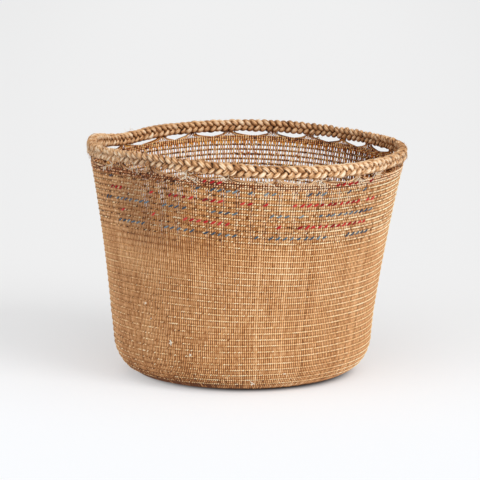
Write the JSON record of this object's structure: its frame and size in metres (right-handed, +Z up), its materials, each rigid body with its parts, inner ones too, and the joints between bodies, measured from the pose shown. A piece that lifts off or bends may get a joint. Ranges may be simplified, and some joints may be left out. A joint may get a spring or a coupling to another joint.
{
  "type": "carrying basket",
  "caption": "Round twined grass basket with flared wall, open scalloped edge, plaited rim and striped wool stitching.",
  "frame": {"origin": "on the ground under the middle of the rim", "axes": "+Z up; the side that the picture shows faces -Y, with +X to its right"},
  "size_m": [0.3, 0.3, 0.2228],
  "materials": {
    "grass": "dry, matt grass warps",
    "grass_weft": "dry, pale twined grass",
    "grass_plait": "thick bundles of grass with a slight sheen",
    "red_wool": "faded wool yarn",
    "blue_wool": "faded wool yarn"
  },
  "bodies": {
    "root": {"blue_yarn_high": "blue_wool", "blue_yarn_low": "blue_wool", "blue_yarn_middle": "blue_wool", "edge_band": "grass_weft", "floor_mat": "grass", "gather_01": "grass", "gather_02": "grass", "gather_03": "grass", "gather_04": "grass", "gather_05": "grass", "gather_06": "grass", "gather_07": "grass", "gather_08": "grass", "gather_09": "grass", "gather_10": "grass", "gather_11": "grass", "gather_12": "grass", "gather_13": "grass", "gather_14": "grass", "gather_15": "grass", "gather_16": "grass", "gather_17": "grass", "gather_18": "grass", "gather_19": "grass", "gather_20": "grass", "gather_21": "grass", "gather_22": "grass", "gather_23": "grass", "gather_24": "grass", "plait_strand_a": "grass_plait", "plait_strand_b": "grass_plait", "plait_strand_c": "grass_plait", "red_yarn_high": "red_wool", "red_yarn_low": "red_wool", "red_yarn_middle": "red_wool", "start_cross": "grass_weft", "warp_wall": "grass", "weft_spiral": "grass_weft", "weft_turn_1": "grass_weft", "weft_turn_2": "grass_weft", "weft_turn_3": "grass_weft", "weft_turn_4": "grass_weft"}
  },
  "joints": []
}
